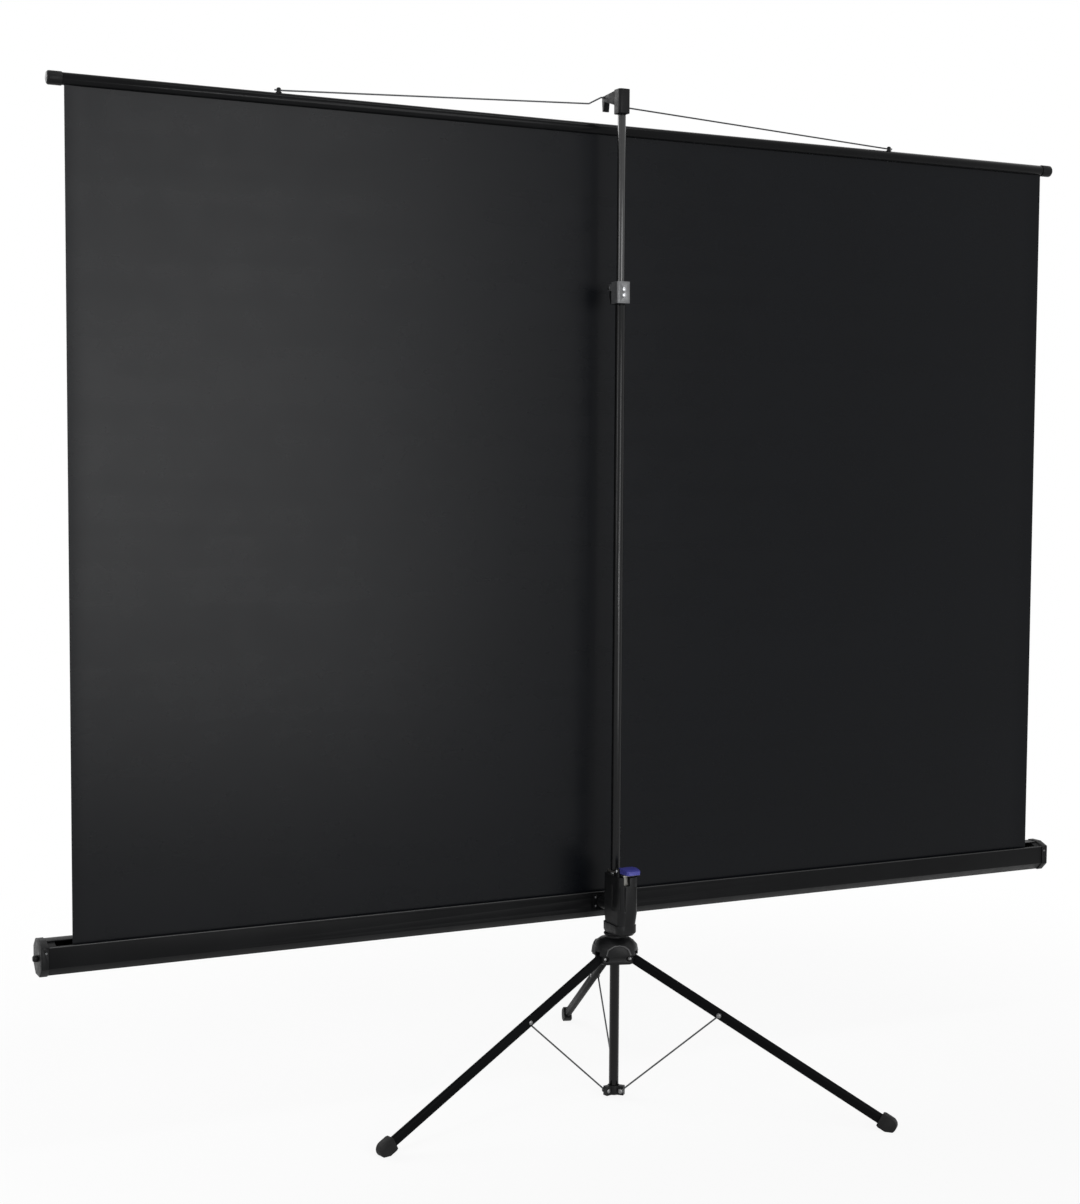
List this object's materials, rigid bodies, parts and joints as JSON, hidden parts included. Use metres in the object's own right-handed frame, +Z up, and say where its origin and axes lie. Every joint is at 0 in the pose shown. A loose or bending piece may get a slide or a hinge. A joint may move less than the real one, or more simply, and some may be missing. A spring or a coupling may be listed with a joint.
{
  "type": "tripod projection screen",
  "caption": "Folding tripod stand with a mast, a long slim case on a sliding grip, and a wide projection screen pulled up from the case and hooked on the mast head.",
  "frame": {"origin": "on the floor, at the middle of the plan outline", "axes": "+X along the case, +Y the way the screen faces, +Z up"},
  "size_m": [2.2366, 0.9455, 1.937],
  "materials": {
    "black_paint": "satin black powder coat",
    "black_plastic": "moulded charcoal black",
    "rubber": "matt black rubber",
    "zinc": "bright zinc plated steel",
    "lock_metal": "silver grey enamel",
    "wire": "dark grey spring wire",
    "blue_plastic": "lavender blue moulded plastic",
    "fabric_black": "black coated screen cloth, white front"
  },
  "bodies": {
    "hub": {"hub": "black_plastic", "leg_pin_front": "zinc", "leg_pin_right": "zinc", "leg_pin_left": "zinc"},
    "collar": {"foot_collar": "black_plastic", "collar_pin_front": "zinc", "collar_pin_right": "zinc", "collar_pin_left": "zinc"},
    "leg_front": {"leg_front": "black_paint", "foot_front": "rubber", "stay_rivet_front": "zinc"},
    "stay_front": {"stay_front": "zinc"},
    "leg_right": {"leg_right": "black_paint", "foot_right": "rubber", "stay_rivet_right": "zinc"},
    "stay_right": {"stay_right": "zinc"},
    "leg_left": {"leg_left": "black_paint", "foot_left": "rubber", "stay_rivet_left": "zinc"},
    "stay_left": {"stay_left": "zinc"},
    "column": {"column_tube": "black_paint", "lock_housing": "lock_metal", "lock_pin": "zinc", "lock_shoe": "zinc", "lock_rivet_upper": "zinc", "lock_rivet_lower": "zinc"},
    "swivel": {"swivel_ring": "black_plastic"},
    "extension": {"extension_tube": "black_paint", "mast_head": "black_plastic"},
    "lock_lever": {"lock_lever": "black_plastic"},
    "carriage": {"carriage_grip": "black_plastic", "pivot_bolt": "zinc", "brake_plate": "zinc", "brake_spring": "zinc", "lever_pin": "zinc"},
    "release_lever": {"release_lever": "blue_plastic"},
    "case": {"case_shell": "black_paint", "case_bracket": "black_paint", "bracket_screw_left_upper": "lock_metal", "bracket_screw_left_lower": "lock_metal", "bracket_screw_right_upper": "lock_metal", "bracket_screw_right_lower": "lock_metal", "end_cap_left": "black_plastic", "end_cap_right": "black_plastic", "cap_screw_left": "lock_metal", "cap_screw_right": "lock_metal", "roller_axle_left": "black_plastic", "roller_axle_right": "black_plastic"},
    "roller": {"roller_tube": "zinc", "roller_plug_left": "black_plastic", "roller_plug_right": "black_plastic", "roller_spring": "zinc", "fabric_roll": "fabric_black"},
    "bar": {"top_bar": "black_paint", "bar_cap_left": "black_plastic", "bar_cap_right": "black_plastic", "eyelet_left": "black_plastic", "eyelet_right": "black_plastic", "fabric": "fabric_black"},
    "bail": {"bail": "wire"}
  },
  "joints": [
    {"name": "column_drop", "type": "slide", "parent": "hub", "child": "collar", "axis": [0, 0, -1], "range_m": [0, 0.19663]},
    {"name": "leg_front_fold", "type": "hinge", "parent": "hub", "child": "leg_front", "pos_m": [-0.00663, -0.02602, 0.27921], "axis": [-0.9537, 0.3007, 0], "range_deg": [0, 62.15]},
    {"name": "stay_front_fold", "type": "hinge", "parent": "leg_front", "child": "stay_front", "pos_m": [0.04708, 0.14432, 0.18485], "axis": [0.9537, -0.3007, 0], "range_deg": [0, 107.39]},
    {"name": "leg_right_fold", "type": "hinge", "parent": "hub", "child": "leg_right", "pos_m": [0.00631, -0.08436, 0.27921], "axis": [0.7373, 0.6756, 0], "range_deg": [0, 62.15]},
    {"name": "stay_right_fold", "type": "hinge", "parent": "leg_right", "child": "stay_right", "pos_m": [0.12697, -0.21604, 0.18485], "axis": [-0.7373, -0.6756, 0], "range_deg": [0, 107.39]},
    {"name": "leg_left_fold", "type": "hinge", "parent": "hub", "child": "leg_left", "pos_m": [-0.05068, -0.06639, 0.27921], "axis": [0.2164, -0.9763, 0], "range_deg": [0, 62.15]},
    {"name": "stay_left_fold", "type": "hinge", "parent": "leg_left", "child": "stay_left", "pos_m": [-0.22505, -0.10504, 0.18485], "axis": [-0.2164, 0.9763, 0], "range_deg": [0, 107.39]},
    {"name": "mast_turn", "type": "hinge", "parent": "collar", "child": "column", "pos_m": [-0.017, -0.05892, 0.015], "axis": [0, 0, 1], "range_deg": [-180, 180]},
    {"name": "screen_turn", "type": "hinge", "parent": "hub", "child": "swivel", "pos_m": [-0.017, -0.05892, 0.32121], "axis": [0, 0, 1], "range_deg": [-180, 180]},
    {"name": "extension_slide", "type": "slide", "parent": "column", "child": "extension", "axis": [0, 0, 1], "range_m": [-0.29, 0]},
    {"name": "lock_lever_pull", "type": "hinge", "parent": "column", "child": "lock_lever", "pos_m": [-0.017, -0.03992, 1.567], "axis": [1, 0, 0], "range_deg": [0, 25], "stiffness_Nm_per_rad": 0.4},
    {"name": "carriage_slide", "type": "slide", "parent": "swivel", "child": "carriage", "axis": [0, 0, 1], "range_m": [0, 0.8]},
    {"name": "release_lift", "type": "hinge", "parent": "carriage", "child": "release_lever", "pos_m": [-0.017, -0.09892, 0.45432], "axis": [-1, 0, 0], "range_deg": [0, 12], "stiffness_Nm_per_rad": 0.6},
    {"name": "case_turn", "type": "hinge", "parent": "carriage", "child": "case", "pos_m": [-0.017, -0.02492, 0.37482], "axis": [0, -1, 0], "range_deg": [0, 70]},
    {"name": "screen_draw", "type": "slide", "parent": "case", "child": "bar", "axis": [0, 0, -1], "range_m": [0, 1.4555], "deforming": ["fabric"]},
    {"name": "roller_turn", "type": "hinge", "parent": "case", "child": "roller", "pos_m": [0, 0.02508, 0.37082], "axis": [1, 0, 0], "range_deg": [0, 4921]},
    {"name": "bail_swing", "type": "hinge", "parent": "bar", "child": "bail", "pos_m": [0, 0.01103, 1.8885], "axis": [-1, 0, 0], "range_deg": [0, 115]}
  ],
  "couplings": [
    {"joint": "leg_front_fold", "follows": "column_drop", "rad_per_m": 5.5165},
    {"joint": "stay_front_fold", "follows": "column_drop", "rad_per_m": 9.5317},
    {"joint": "leg_right_fold", "follows": "column_drop", "rad_per_m": 5.5165},
    {"joint": "stay_right_fold", "follows": "column_drop", "rad_per_m": 9.5317},
    {"joint": "leg_left_fold", "follows": "column_drop", "rad_per_m": 5.5165},
    {"joint": "stay_left_fold", "follows": "column_drop", "rad_per_m": 9.5317},
    {"joint": "mast_turn", "follows": "screen_turn", "ratio": 1},
    {"joint": "roller_turn", "follows": "screen_draw", "rad_per_m": 58.997}
  ]
}
